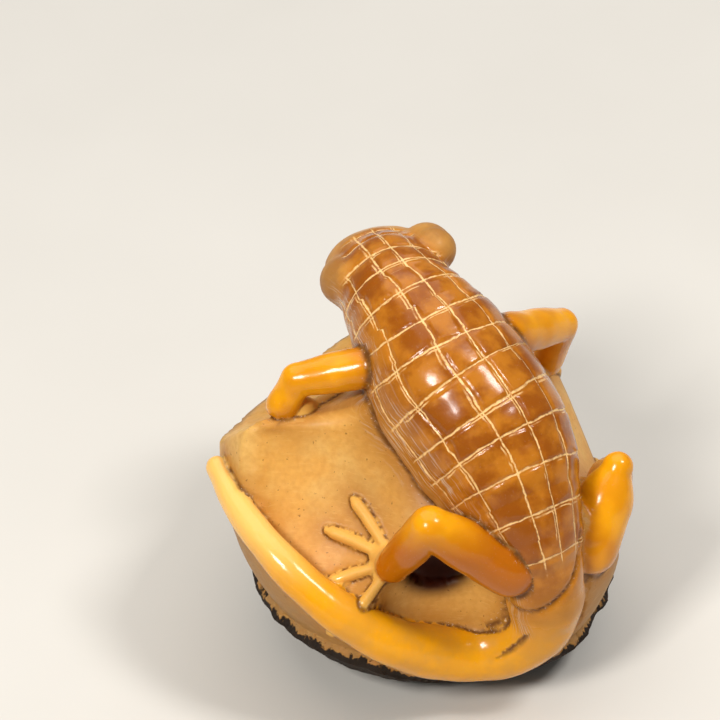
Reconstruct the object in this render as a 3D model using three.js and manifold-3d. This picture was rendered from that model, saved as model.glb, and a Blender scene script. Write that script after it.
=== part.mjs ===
// Tagua nut carved as a caiman lying over the top of the nut, its tail curled round the rim.
// One solid, in millimetres. +Z is up and +Y is the way the caiman heads. X is right of it.

import * as THREE from "three";
import { mergeVertices } from "three/addons/utils/BufferGeometryUtils.js";
import Module from "manifold-3d";

// The nut as it grew
const NUT_RADIUS = 22.3;
const NUT_LONG_RADIUS = 25.8;
const NUT_AXIS_RISE = 42;
const NUT_SWELL = 2.3;
const FOOT_CUT = 2.9;
const WALL_SCRAPE = 1.1;
const BARK_GAP = -0.2;
const BARK_RISE = -32;
const BARK_EDGE = 4;

// The ground cut away round the animal, as depths below the nut's skin
const LEFT_GROUND_DEPTH = 9.7;
const RIGHT_GROUND_DEPTH = 8.4;
const FRONT_GROUND_DEPTH = 14;
const POCKET_RADIUS = 9.5;
const POCKET_DEPTH = 8.2;
const GROUND_BLEND = 2.2;
const FRONT_GROUND_BLEND = 4;
const UNDERCUT_DEPTH = 3;
const UNDERCUT_STATIONS = [2, 9];
const KNEE_POCKET_RADIUS = 4.8;
const KNEE_POCKET_DEPTH = 10.8;

// The animal
const TRUNK_RADIUS = 8.7;
const TAIL_ROOT_RADIUS = 3.3;
const HIND_LEG_RADIUS = 2.5;
const FRONT_LEG_RADIUS = 1.95;
const TOE_RADIUS = 0.78;
const TOE_LENGTH = 5.6;
const TOE_SPREAD = 30;
const EYE_RADIUS = 1.5;
const JOWL_RADIUS = 2.6;

// The scratched grid of the back. Seams are angles round the trunk to the left of its crest.
const ROW_PITCH = 3.58;
const NECK_ROW_PITCH = 2.3;
const NECK_ROWS = 4;
const BACK_ROWS = 8;
const SEAM_ANGLES = [-85, -56, -26, 0, 23, 57, 85];
const FIRST_ROW = 2.4;
const SEAM_WIDTH = 0.55;
const SEAM_DEPTH = 0.28;
const SEAM_HALF_ANGLE = 2.4;
const WIDEST_CELL_ANGLE = 27;
const BELLY_ANGLES = [125, 180, -125];

// How finely the forms are cut
const CORE_DETAIL = 9;
const LIMB_SIDES = 10;
const TOE_SIDES = 5;
const TAIL_RINGS = 22;
const TAIL_SIDES = 12;
const PAD_SIDES = 8;
const BONE_RINGS = 3;
const SHORT_RINGS = 2;
const CHIN_RINGS = 4;
const SKULL_RINGS = 8;
const SKULL_SIDES = 14;
const ROUND_END = [0, 0.42, 0.78];
const PLAIN_END = [0, 0.6];

const wasm = await Module();
wasm.setup();

const rad = THREE.MathUtils.degToRad;
const vector = (x, y, z) => new THREE.Vector3(x, y, z);
const NUT_AXIS = vector(0, Math.cos(rad(NUT_AXIS_RISE)), Math.sin(rad(NUT_AXIS_RISE)));
const SWELL_DIRECTION = vector(0.4, -0.72, -0.56).normalize();

// Unit direction by the angle along the back, 0 ahead, 90 on top and 180 behind, and the angle to the right of it.
function overNut(along, aside = 0) {
  const [a, s] = [rad(along), rad(aside)];
  return vector(Math.sin(s), Math.cos(s) * Math.cos(a), Math.cos(s) * Math.sin(a));
}

// Unit direction by compass angle from the tail end round to the left, and the rise above level.
function roundNut(bearing, rise) {
  const [b, r] = [rad(bearing), rad(rise)];
  return vector(-Math.cos(r) * Math.sin(b), -Math.cos(r) * Math.cos(b), Math.sin(r));
}

// Distance from the nut's centre to its grown skin: round behind, drawn out ahead, fuller on one low side.
function skinRadius(direction) {
  const c = Math.max(0, direction.dot(NUT_AXIS));
  const egg = 1 / Math.sqrt(c ** 2 / NUT_LONG_RADIUS ** 2 + (1 - c ** 2) / NUT_RADIUS ** 2);
  return egg + NUT_SWELL * Math.max(0, direction.dot(SWELL_DIRECTION)) ** 9;
}

// Point at a depth below the skin, along a direction.
function underSkin(direction, depth) {
  return direction.clone().setLength(skinRadius(direction) - depth);
}

// Place of a limb's joint, in shares of the nut's radius.
function inNut(x, y, z) {
  return vector(x, y, z).multiplyScalar(NUT_RADIUS);
}

function softMin(a, b, blend) {
  const h = THREE.MathUtils.clamp(0.5 + (b - a) / (2 * blend), 0, 1);
  return b + (a - b) * h - blend * h * (1 - h);
}

// A scoop is the bite of a large ball that reaches a depth below the skin along its direction.
function scoop(direction, depth, ballRadius, blend = GROUND_BLEND) {
  const centre = direction.clone().setLength(skinRadius(direction) - depth + ballRadius);
  return { centre, ballRadius, blend };
}

// Distance from the nut's centre to where a direction enters the scoop's ball.
function scoopRadius({ centre, ballRadius }, direction) {
  const along = centre.dot(direction);
  const reach = ballRadius ** 2 - (centre.lengthSq() - along ** 2);
  return reach > 0 && along > 0 ? along - Math.sqrt(reach) : Infinity;
}

// Spine from the neck to the hips: angle along the back, angle aside, and radius as a share of the trunk's.
const SPINE = [
  [54, 2, 0.58], [66, 0.4, 0.64], [77, -0.6, 0.72], [88, 0.4, 0.82], [98, 2.3, 0.94], [109, 4, 1], [120, 7, 1],
  [131, 9.7, 0.99], [143, 11.2, 0.92], [156, 11.4, 0.79], [168, 11.4, 0.63], [179, 12, 0.5],
];

// The ground, then the core hollowed under the trunk so that none of it shows through the back.
const SCOOPS = [
  scoop(vector(-0.68, -0.55, 0.485).normalize(), LEFT_GROUND_DEPTH, NUT_RADIUS * 1.15),
  scoop(vector(-0.5, 0.1, 0.86).normalize(), LEFT_GROUND_DEPTH * 0.95, NUT_RADIUS * 0.55),
  scoop(vector(-0.36, -0.75, 0.55).normalize(), LEFT_GROUND_DEPTH * 0.9, NUT_RADIUS * 0.55),
  scoop(roundNut(19, -9), POCKET_DEPTH, POCKET_RADIUS),
  scoop(roundNut(19, -1), KNEE_POCKET_DEPTH, KNEE_POCKET_RADIUS),
  scoop(vector(0.85, -0.3, 0.43).normalize(), RIGHT_GROUND_DEPTH, NUT_RADIUS * 4),
  scoop(vector(-0.32, 0.66, 0.68).normalize(), FRONT_GROUND_DEPTH, NUT_RADIUS * 1.5, FRONT_GROUND_BLEND),
  scoop(vector(0.62, 0.42, 0.66).normalize(), RIGHT_GROUND_DEPTH * 1.3, NUT_RADIUS * 1.3, FRONT_GROUND_BLEND),
  ...SPINE.slice(...UNDERCUT_STATIONS).map(([along, aside]) => scoop(overNut(along, aside), UNDERCUT_DEPTH, TRUNK_RADIUS)),
];

function coreRadius(direction) {
  const rise = THREE.MathUtils.radToDeg(Math.asin(direction.z));
  const scraped = THREE.MathUtils.smoothstep(rise, BARK_RISE - BARK_EDGE, BARK_RISE + BARK_EDGE);
  let radius = skinRadius(direction) - BARK_GAP - (WALL_SCRAPE - BARK_GAP) * scraped;
  for (const one of SCOOPS) {
    const cut = scoopRadius(one, direction);
    if (cut < Infinity) radius = softMin(radius, cut, one.blend);
  }
  return radius;
}

// A closed solid from a geometry, shared corners merged.
function solid(geometry) {
  geometry.deleteAttribute("normal");
  geometry.deleteAttribute("uv");
  const merged = mergeVertices(geometry, 1e-5);
  return new wasm.Manifold(
    new wasm.Mesh({
      numProp: 3,
      vertProperties: new Float32Array(merged.attributes.position.array),
      triVerts: new Uint32Array(merged.index.array),
    }),
  );
}

function carvedNut() {
  const ball = new THREE.IcosahedronGeometry(1, CORE_DETAIL);
  const places = ball.attributes.position;
  const direction = vector(0, 0, 0);
  for (let i = 0; i < places.count; i += 1) {
    direction.fromBufferAttribute(places, i).normalize();
    const radius = coreRadius(direction);
    places.setXYZ(i, direction.x * radius, direction.y * radius, direction.z * radius);
  }
  const nut = solid(ball);
  const side = NUT_LONG_RADIUS * 4;
  const slab = new THREE.BoxGeometry(side, side, side);
  slab.translate(0, 0, side / 2 - (NUT_RADIUS - FOOT_CUT));
  return nut.intersect(solid(slab));
}

// Smooth value between stations' values, at a share of the way.
function between(values, share) {
  const place = share * (values.length - 1);
  const i = Math.min(Math.floor(place), values.length - 2);
  const t = place - i;
  const ease = t * t * (3 - 2 * t);
  return values[i] + (values[i + 1] - values[i]) * ease;
}

// Closed loft with round ends. Each station has its centre, its half width and its half height.
function loft(stations, { shares, angles, relief = () => 0, ends = PLAIN_END }) {
  const path = new THREE.CatmullRomCurve3(stations.map((s) => s.centre), false, "centripetal");
  const wide = stations.map((s) => s.wide);
  const tall = stations.map((s) => s.tall ?? s.wide);
  const rings = [
    ...ends.map((e) => ({ share: 0, out: -Math.cos(e * Math.PI / 2), size: Math.sin(e * Math.PI / 2) })),
    ...shares.map((share) => ({ share, out: 0, size: 1 })),
    ...ends.map((e) => ({ share: 1, out: Math.cos(e * Math.PI / 2), size: Math.sin(e * Math.PI / 2) })).reverse(),
  ];
  const points = [];
  for (const { share, out, size } of rings) {
    const t = path.getUtoTmapping(share, 0);
    const along = path.getTangent(t);
    const centre = path.getPoint(t);
    const up = centre.clone().addScaledVector(along, -centre.dot(along)).normalize();
    const side = along.clone().cross(up);
    const w = between(wide, t);
    const h = between(tall, t);
    centre.addScaledVector(along, out * Math.min(w, h));
    for (const angle of angles) {
      const cut = relief(share, angle) * size;
      const x = (w * size - cut) * Math.sin(rad(angle));
      const y = (h * size - cut) * Math.cos(rad(angle));
      points.push(...centre.clone().addScaledVector(side, x).addScaledVector(up, y).toArray());
    }
  }
  const index = [];
  const n = angles.length;
  for (let r = 0; r + 1 < rings.length; r += 1) {
    for (let k = 0; k < n; k += 1) {
      const [a, b] = [r * n + k, r * n + ((k + 1) % n)];
      if (r > 0) index.push(a, b, a + n);
      if (r + 2 < rings.length) index.push(b, b + n, a + n);
    }
  }
  const geometry = new THREE.BufferGeometry();
  geometry.setAttribute("position", new THREE.Float32BufferAttribute(points, 3));
  geometry.setIndex(index);
  return solid(geometry);
}

const evenly = (count, from = 0, to = 1) => Array.from({ length: count + 1 }, (_, i) => from + (to - from) * i / count);
const roundAngles = (sides) => evenly(sides, 0, 360).slice(0, -1);

// A plain round limb through its stations.
function limb(stations, rings, sides = LIMB_SIDES, ends = PLAIN_END) {
  return loft(stations, { shares: evenly(rings), angles: roundAngles(sides), ends });
}

// Tail from the hips round the left rim: bearing, rise, radius as a share of the root's, and how far it stands proud.
const TAIL = [
  [-13, -12, 1.15, 0.5], [-12, -24, 1.12, 0.6], [-4, -33.5, 1.06, 0.6], [9, -37.5, 0.96, 0.4], [22, -33.5, 0.87, 0.4],
  [35, -24, 0.77, 0.5], [49, -12, 0.67, 0.7], [63, -2, 0.59, 0.8], [77, 4.8, 0.52, 0.9], [91, 8.2, 0.45, 0.9],
  [104, 9.2, 0.39, 0.9],
];

const spineStations = SPINE.map(([along, aside, share]) => {
  const wide = TRUNK_RADIUS * share;
  return { centre: underSkin(overNut(along, aside), wide), wide };
});
const tailStations = TAIL.map(([bearing, rise, share, proud]) => {
  const wide = TAIL_ROOT_RADIUS * share;
  return { centre: underSkin(roundNut(bearing, rise), wide - proud), wide };
});

// Trunk and neck, the back scored with rows across and seams along.
function trunk() {
  const stations = [...spineStations, tailStations[0]];
  const path = new THREE.CatmullRomCurve3(stations.map((s) => s.centre), false, "centripetal");
  const length = path.getLength();
  const rows = [];
  for (let row = 0; row < NECK_ROWS + BACK_ROWS; row += 1) {
    const neck = Math.min(row, NECK_ROWS) * NECK_ROW_PITCH;
    const back = Math.max(row - NECK_ROWS, 0) * ROW_PITCH;
    rows.push((FIRST_ROW + neck + back) / length);
  }
  const half = SEAM_WIDTH / 2 / length;
  const shares = [0, ...rows.flatMap((row) => [row - half, row, row + half]), 1];
  const angles = SEAM_ANGLES.flatMap((seam) => [seam - SEAM_HALF_ANGLE, seam, seam + SEAM_HALF_ANGLE]);
  for (const [i, seam] of SEAM_ANGLES.slice(1).entries()) {
    if (seam - SEAM_ANGLES[i] > WIDEST_CELL_ANGLE) angles.push((seam + SEAM_ANGLES[i]) / 2);
  }
  angles.push(...BELLY_ANGLES);
  angles.sort((a, b) => a - b);
  const lastRow = rows.at(-1);
  const relief = (share, angle) => {
    if (share === 0 || share > lastRow || Math.abs(angle) > SEAM_ANGLES.at(-1) + SEAM_HALF_ANGLE) return 0;
    return rows.includes(share) || SEAM_ANGLES.includes(angle) ? SEAM_DEPTH : 0;
  };
  return loft(stations, { shares, angles, relief });
}

function tail() {
  return limb([...spineStations.slice(-2), ...tailStations], TAIL_RINGS, TAIL_SIDES);
}

function head() {
  const skull = limb(
    [
      { centre: inNut(0.03, 0.42, 0.76), wide: 4.9, tall: 4.7 },
      { centre: inNut(0.05, 0.57, 0.73), wide: 6.2, tall: 4.6 },
      { centre: inNut(0.11, 0.73, 0.58), wide: 5.5, tall: 4 },
      { centre: inNut(0.18, 0.83, 0.39), wide: 4.3, tall: 3.1 },
      { centre: inNut(0.23, 0.86, 0.22), wide: 3.4, tall: 2.4 },
    ],
    SKULL_RINGS,
    SKULL_SIDES,
    ROUND_END,
  );
  const leftJowl = limb(
    [
      { centre: inNut(-0.17, 0.4, 0.86), wide: JOWL_RADIUS * 0.9 },
      { centre: inNut(-0.17, 0.5, 0.81), wide: JOWL_RADIUS },
      { centre: inNut(-0.08, 0.64, 0.68), wide: JOWL_RADIUS * 0.8 },
    ],
    BONE_RINGS,
    PAD_SIDES,
  );
  const rightJowl = limb(
    [
      { centre: inNut(0.24, 0.4, 0.92), wide: JOWL_RADIUS * 0.9 },
      { centre: inNut(0.25, 0.5, 0.87), wide: JOWL_RADIUS },
      { centre: inNut(0.26, 0.64, 0.72), wide: JOWL_RADIUS * 0.8 },
    ],
    BONE_RINGS,
    PAD_SIDES,
  );
  const eyes = [inNut(0.02, 0.83, 0.67), inNut(0.25, 0.82, 0.67)].map((place) => {
    const ball = new THREE.IcosahedronGeometry(EYE_RADIUS, 1);
    ball.translate(place.x, place.y, place.z);
    return solid(ball);
  });
  return [leftJowl, rightJowl, ...eyes].reduce((all, one) => all.add(one), skull);
}

// The ridge of nut left standing under the neck and chin.
function chinRest() {
  return limb(
    [
      { centre: inNut(0.05, 0.2, 0.55), wide: 4.5 },
      { centre: inNut(0.12, 0.5, 0.42), wide: 3.6 },
      { centre: inNut(0.2, 0.66, 0.2), wide: 3 },
    ],
    CHIN_RINGS,
    PAD_SIDES,
  );
}

// A place on the carved ground, standing a little proud of it.
function onGround(point, proud) {
  const direction = point.clone().normalize();
  return direction.multiplyScalar(coreRadius(direction) + proud);
}

// A foot: a low pad at the ankle and toes fanned round the heading, all lying on the ground.
function foot(ankle, heading, radius, reach) {
  const up = ankle.clone().normalize();
  const ahead = heading.clone().sub(ankle);
  ahead.addScaledVector(up, -ahead.dot(up)).normalize();
  const pad = limb(
    [
      { centre: onGround(ankle, radius * 0.3), wide: radius },
      { centre: onGround(ankle.clone().addScaledVector(ahead, TOE_LENGTH * 0.35), 0), wide: radius * 0.75 },
    ],
    1,
    PAD_SIDES,
  );
  const toes = [-1.5, -0.5, 0.5, 1.5].map((step) => {
    const way = ahead.clone().applyAxisAngle(up, rad(step * TOE_SPREAD));
    const at = (share) => onGround(ankle.clone().addScaledVector(way, TOE_LENGTH * share * reach), TOE_RADIUS * 0.3);
    return limb(
      [
        { centre: at(0.3), wide: TOE_RADIUS },
        { centre: at(0.95), wide: TOE_RADIUS * 1.1 },
        { centre: at(1.5), wide: TOE_RADIUS * 0.85 },
      ],
      SHORT_RINGS,
      TOE_SIDES,
    );
  });
  return toes.reduce((all, one) => all.add(one), pad);
}

// A leg of two round bones that meet at a bent joint, ending in a foot.
function leg({ root, joint, ankle, heading, radius, knee, slim, reach }) {
  const upper = limb([
    { centre: root, wide: radius * 1.2 },
    { centre: root.clone().lerp(joint, 0.5), wide: radius * 1.08 },
    { centre: joint, wide: radius * knee },
  ], BONE_RINGS);
  const lower = limb([
    { centre: joint, wide: radius * knee },
    { centre: joint.clone().lerp(ankle, 0.5), wide: radius * 0.84 },
    { centre: ankle, wide: radius * slim },
  ], SHORT_RINGS);
  return upper.add(lower).add(foot(ankle, heading, radius * slim, reach));
}

const LEGS = [
  {
    root: inNut(0, -0.855, 0.05),
    joint: inNut(-0.345, -0.76, 0.345),
    ankle: inNut(-0.447, -0.586, 0.021),
    heading: inNut(-0.68, -0.3, -0.03),
    radius: HIND_LEG_RADIUS,
    knee: 0.88,
    slim: 0.72,
    reach: 1,
  },
  {
    root: inNut(0.46, -0.75, -0.08),
    joint: inNut(0.66, -0.66, 0.25),
    ankle: inNut(0.785, -0.3, -0.25),
    heading: inNut(0.82, 0.1, -0.75),
    radius: HIND_LEG_RADIUS * 1.12,
    knee: 0.58,
    slim: 0.6,
    reach: 1,
  },
  {
    root: inNut(-0.25, -0.04, 0.72),
    joint: inNut(-0.585, 0.12, 0.64),
    ankle: inNut(-0.66, 0.13, 0.51),
    heading: inNut(-0.35, 0.8, 0.4),
    radius: FRONT_LEG_RADIUS,
    knee: 0.9,
    slim: 0.9,
    reach: 0.7,
  },
  {
    root: inNut(0.34, -0.12, 0.74),
    joint: inNut(0.74, 0.06, 0.55),
    ankle: inNut(0.76, 0.22, 0.22),
    heading: inNut(0.7, 0.6, 0.05),
    radius: FRONT_LEG_RADIUS * 1.05,
    knee: 0.88,
    slim: 0.85,
    reach: 0.9,
  },
];

const pieces = [carvedNut(), trunk(), tail(), chinRest(), head(), ...LEGS.map(leg)];
const carving = pieces.reduce((all, one) => all.add(one));

function meshOf(manifold) {
  const { vertProperties, triVerts } = manifold.getMesh();
  const geometry = new THREE.BufferGeometry();
  geometry.setAttribute("position", new THREE.BufferAttribute(vertProperties, 3));
  geometry.setIndex(new THREE.BufferAttribute(triVerts, 1));
  return geometry;
}

const tagua = new THREE.MeshStandardMaterial({ color: 0xc8832e, roughness: 0.35, metalness: 0 });
const mesh = new THREE.Mesh(meshOf(carving), tagua);
mesh.name = "caiman_carving";
mesh.geometry.computeBoundingBox();
const { min, max } = mesh.geometry.boundingBox;
mesh.position.set(-(min.x + max.x) / 2, -(min.y + max.y) / 2, -min.z);
const part = new THREE.Group();
part.add(mesh);
export default part;
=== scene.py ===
"""Tagua nut carved as a caiman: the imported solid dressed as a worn, polished carving.

The nut's own frame has its origin at the nut's centre, in millimetres, +Y the way the caiman heads.
"""

import logging
import math
from dataclasses import dataclass, field
from enum import Enum

import bpy
import numpy as np
from mathutils import Matrix, Vector


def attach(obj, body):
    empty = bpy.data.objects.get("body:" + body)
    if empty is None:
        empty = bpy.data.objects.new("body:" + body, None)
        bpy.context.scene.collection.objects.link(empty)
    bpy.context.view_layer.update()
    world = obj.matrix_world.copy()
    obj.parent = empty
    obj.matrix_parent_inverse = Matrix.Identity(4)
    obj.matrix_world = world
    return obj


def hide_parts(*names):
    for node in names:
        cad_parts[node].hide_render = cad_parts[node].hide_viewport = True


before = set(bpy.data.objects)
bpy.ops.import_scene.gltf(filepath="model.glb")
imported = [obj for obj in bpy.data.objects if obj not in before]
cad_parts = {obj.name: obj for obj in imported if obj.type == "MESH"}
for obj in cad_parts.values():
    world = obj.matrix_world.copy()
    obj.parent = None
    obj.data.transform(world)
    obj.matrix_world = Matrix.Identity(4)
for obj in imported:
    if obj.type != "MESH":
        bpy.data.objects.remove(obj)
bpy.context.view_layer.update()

LOG = logging.getLogger("caiman")
MM = 0.001
CARVING_NODE = "caiman_carving"
# Millimetres given to a place that is well clear of a form.
FAR = 9.0
# How many places are measured against a form at once.
BLOCK = 20000
NUT_CENTRE = (1.017, -0.176, 19.4)
Rgb = tuple[float, float, float]
Socket = bpy.types.NodeSocket


class Zone(Enum):
    """Names of the surface values that the finish reads."""

    ROW = "row"
    SEAM = "seam"
    ROW_SIZE = "row_size"
    SEAM_SIZE = "seam_size"
    BACK = "back"
    LIMB = "limb"
    BODY = "body"
    # Where shade is painted on the trunk's lower sides and the ground beside them.
    FLANK = "flank"
    TAIL = "tail"
    TOE = "toe"
    HEAD = "head"
    # Where a shadow is painted under the knee.
    HOLLOW = "hollow"
    SUNK = "sunk"
    BARK = "bark"
    CREASE = "crease"
    # How near forms meet, for the painted shade there.
    SHADE = "shade"


def unit(vector: np.ndarray) -> np.ndarray:
    """Vectors at length one, along the last axis."""
    return vector / np.linalg.norm(vector, axis=-1, keepdims=True)


def smooth_step(value: np.ndarray, low: float, high: float) -> np.ndarray:
    """Zero below low, one above high, smooth between.

    Args:
        value: Values to weigh.
        low: Where the step starts.
        high: Where the step ends.

    Returns:
        Shares between zero and one.
    """
    share = np.clip((value - low) / (high - low), 0, 1)
    return share * share * (3 - 2 * share)


def bell(value: np.ndarray, width: float, power: int = 2) -> np.ndarray:
    """One where the value is zero, fading over the width. A higher power gives a flatter top."""
    return np.exp(-((value / width) ** power))


def soft_min(first: np.ndarray, second: np.ndarray, blend: float) -> np.ndarray:
    """Lesser of two distances, rounded where they meet.

    Args:
        first: Distances to one form.
        second: Distances to another.
        blend: Width of the rounding, in millimetres.

    Returns:
        The joined distances.
    """
    share = np.clip(0.5 + (second - first) / (2 * blend), 0, 1)
    return second + (first - second) * share - blend * share * (1 - share)


def ripple(points: np.ndarray, length: float, seed: int, waves: int = 9) -> np.ndarray:
    """Gentle unevenness between about -1 and 1.

    Args:
        points: Places, one row each.
        length: Length of a wave, in the units of the places.
        seed: Number that fixes the pattern.
        waves: How many waves are laid over each other.

    Returns:
        One value for each place.
    """
    dice = np.random.default_rng(seed)
    total = np.zeros(len(points))
    for _ in range(waves):
        way = unit(dice.normal(size=points.shape[1])) * 2 * math.pi / (length * dice.uniform(0.7, 1.4))
        total += np.sin(points @ way + dice.uniform(0, 2 * math.pi))
    return total / math.sqrt(waves * 1.6)


@dataclass
class GrownNut:
    """The nut as it grew, and the ground carved away round the animal."""

    radius: float = 22.3
    long_radius: float = 25.8
    axis_rise: float = 42
    swell: float = 2.3
    foot_cut: float = 2.9
    wall_scrape: float = 1.1
    bark_gap: float = -0.2
    bark_rise: float = -32
    left_depth: float = 9.7
    right_depth: float = 8.4
    front_depth: float = 14
    pocket_radius: float = 9.5
    pocket_depth: float = 8.2
    ground_blend: float = 2.2
    front_blend: float = 4
    knee_pocket_radius: float = 4.8
    knee_pocket_depth: float = 10.8
    undercut_depth: float = 3
    undercut_radius: float = 8.7
    undercut_blend: float = 1
    first_undercut: int = 2
    low_side: tuple[float, float, float] = (0.4, -0.72, -0.56)
    swell_power: int = 9
    bark_drop: float = 5.5
    bark_drop_bearing: float = 8
    bark_drop_width: float = 28
    spine: tuple[tuple[float, float, float], ...] = (
        (54, 2, 0.58), (66, 0.4, 0.64), (77, -0.6, 0.72), (88, 0.4, 0.82), (98, 2.3, 0.94), (109, 4, 1),
        (120, 7, 1), (131, 9.7, 0.99), (143, 11.2, 0.92), (156, 11.4, 0.79), (168, 11.4, 0.63), (179, 12, 0.5),
    )

    @property
    def foot(self) -> float:
        """Height of the flat foot, from the nut's centre."""
        return self.foot_cut - self.radius

    @staticmethod
    def over(along: float, aside: float = 0) -> np.ndarray:
        """Direction to a place on the back.

        Args:
            along: Degrees along the back, 90 on top.
            aside: Degrees to the right of the middle.

        Returns:
            The unit direction from the nut's centre.
        """
        a, s = math.radians(along), math.radians(aside)
        return np.array([math.sin(s), math.cos(s) * math.cos(a), math.cos(s) * math.sin(a)])

    @staticmethod
    def round(bearing: float, rise: float) -> np.ndarray:
        """Direction to a place on the nut's side.

        Args:
            bearing: Compass degrees from the tail end round to the left.
            rise: Degrees above level.

        Returns:
            The unit direction from the nut's centre.
        """
        b, r = math.radians(bearing), math.radians(rise)
        return np.array([-math.cos(r) * math.sin(b), -math.cos(r) * math.cos(b), math.sin(r)])

    def skin(self, way: np.ndarray) -> np.ndarray:
        """Distance from the centre to the grown skin.

        Args:
            way: Unit directions.

        Returns:
            Millimetres along each direction, an egg with a swelling low on one side.
        """
        tilt = math.radians(self.axis_rise)
        axis = np.array([0, math.cos(tilt), math.sin(tilt)])
        c = np.maximum(0, way @ axis)
        egg = 1 / np.sqrt(c**2 / self.long_radius**2 + (1 - c**2) / self.radius**2)
        return egg + self.swell * np.maximum(0, way @ unit(np.array(self.low_side))) ** self.swell_power

    def under(self, way: np.ndarray, depth: float) -> np.ndarray:
        """Point at a depth below the skin."""
        return way * (self.skin(way) - depth)

    def scoops(self) -> list[tuple[np.ndarray, float, float]]:
        """Lays out the balls that bite the ground away.

        Returns:
            Centre, radius and blend of each ball.
        """
        bites = [
            ((-0.68, -0.55, 0.485), self.left_depth, self.radius * 1.15, self.ground_blend),
            ((-0.5, 0.1, 0.86), self.left_depth * 0.95, self.radius * 0.55, self.ground_blend),
            ((-0.36, -0.75, 0.55), self.left_depth * 0.9, self.radius * 0.55, self.ground_blend),
            (self.round(19, -9), self.pocket_depth, self.pocket_radius, self.ground_blend),
            (self.round(19, -1), self.knee_pocket_depth, self.knee_pocket_radius, self.ground_blend),
            ((0.85, -0.3, 0.43), self.right_depth, self.radius * 4, self.ground_blend),
            ((-0.32, 0.66, 0.68), self.front_depth, self.radius * 1.5, self.front_blend),
            ((0.62, 0.42, 0.66), self.right_depth * 1.3, self.radius * 1.3, self.front_blend),
        ]
        for along, aside, share in self.spine[self.first_undercut :]:
            ball = self.undercut_radius * share
            bites.append((self.over(along, aside), self.undercut_depth * share, ball, self.undercut_blend))
        made = []
        for way, depth, ball, blend in bites:
            way = unit(np.array(way))
            made.append((way * (self.skin(way) - depth + ball), ball, blend))
        return made

    def bark_edge(self, way: np.ndarray) -> np.ndarray:
        """Where the bark starts.

        Args:
            way: Unit directions.

        Returns:
            Degrees below the ragged upper edge of the bark, negative above it.
        """
        rise = np.degrees(np.arcsin(np.clip(way[:, 2], -1, 1)))
        ragged = 2.2 * ripple(way, 0.5, 11) + 1.1 * ripple(way, 0.12, 12)
        bearing = np.degrees(np.arctan2(-way[:, 0], -way[:, 1]))
        under_tail = self.bark_drop * bell(bearing - self.bark_drop_bearing, self.bark_drop_width)
        return self.bark_rise + ragged - under_tail - rise

    def core(self, way: np.ndarray) -> np.ndarray:
        """Distance from the centre to the carved ground or the scraped wall.

        Args:
            way: Unit directions.

        Returns:
            Millimetres along each direction.
        """
        bark = smooth_step(self.bark_edge(way), -1, 1)
        radius = self.skin(way) - self.wall_scrape + (self.wall_scrape - self.bark_gap) * bark
        for centre, ball, blend in self.scoops():
            along = way @ centre
            reach = ball**2 - (centre @ centre - along**2)
            cut = np.where((reach > 0) & (along > 0), along - np.sqrt(np.maximum(reach, 0)), 1e3)
            radius = soft_min(radius, cut, blend)
        return radius

    def on_ground(self, point: np.ndarray, proud: float) -> np.ndarray:
        """Point in the same direction that stands a little proud of the carved ground."""
        way = unit(np.asarray(point, float))
        return way * (self.core(way[None])[0] + proud)


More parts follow.
